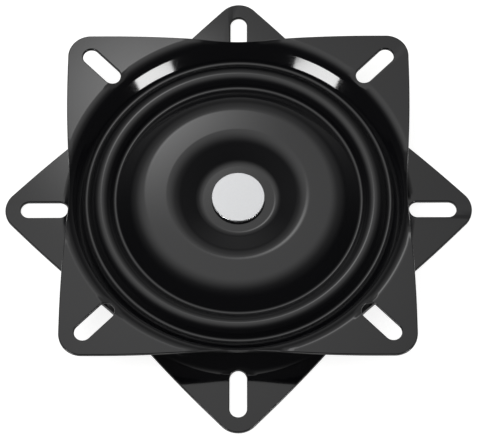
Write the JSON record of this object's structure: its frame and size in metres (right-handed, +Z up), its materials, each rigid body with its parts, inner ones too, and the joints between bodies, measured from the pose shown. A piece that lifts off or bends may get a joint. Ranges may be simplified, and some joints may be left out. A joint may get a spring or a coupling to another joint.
{
  "type": "lazy susan bearing",
  "caption": "Square swivel bearing: two dished black steel plates turned 45 degrees to each other, slotted at the corners, on a ring of caged balls with a centre rivet.",
  "frame": {"origin": "on the swivel axis, at the face that the lower plate stands on", "axes": "+Z up along the swivel axis, +X and +Y square to the sides of the upper plate at rest"},
  "size_m": [0.272, 0.272, 0.0298],
  "materials": {
    "black_paint": "gloss black stove enamel on pressed steel",
    "zinc_plate": "bright zinc plate, satin",
    "bearing_steel": "polished hardened steel",
    "cage_nylon": "natural nylon, moulded",
    "dark_nylon": "dark nylon, satin"
  },
  "bodies": {
    "base": {"lower_plate": "black_paint", "center_rivet": "zinc_plate", "head_washer": "dark_nylon", "hub_spacer": "dark_nylon", "tail_washer": "zinc_plate"},
    "top": {"upper_plate": "black_paint"},
    "cage": {"ball_cage": "cage_nylon", "ball_01": "bearing_steel", "ball_02": "bearing_steel", "ball_03": "bearing_steel", "ball_04": "bearing_steel", "ball_05": "bearing_steel", "ball_06": "bearing_steel", "ball_07": "bearing_steel", "ball_08": "bearing_steel", "ball_09": "bearing_steel", "ball_10": "bearing_steel", "ball_11": "bearing_steel", "ball_12": "bearing_steel", "ball_13": "bearing_steel", "ball_14": "bearing_steel", "ball_15": "bearing_steel", "ball_16": "bearing_steel", "ball_17": "bearing_steel", "ball_18": "bearing_steel", "ball_19": "bearing_steel", "ball_20": "bearing_steel", "ball_21": "bearing_steel", "ball_22": "bearing_steel", "ball_23": "bearing_steel", "ball_24": "bearing_steel"}
  },
  "joints": [
    {"name": "swivel", "type": "hinge", "parent": "base", "child": "top", "pos_m": [0, 0, 0.0149], "axis": [0, 0, 1], "continuous": true},
    {"name": "cage_turn", "type": "hinge", "parent": "base", "child": "cage", "pos_m": [0, 0, 0.0149], "axis": [0, 0, 1], "continuous": true}
  ],
  "couplings": [
    {"joint": "cage_turn", "follows": "swivel", "ratio": 0.5}
  ]
}
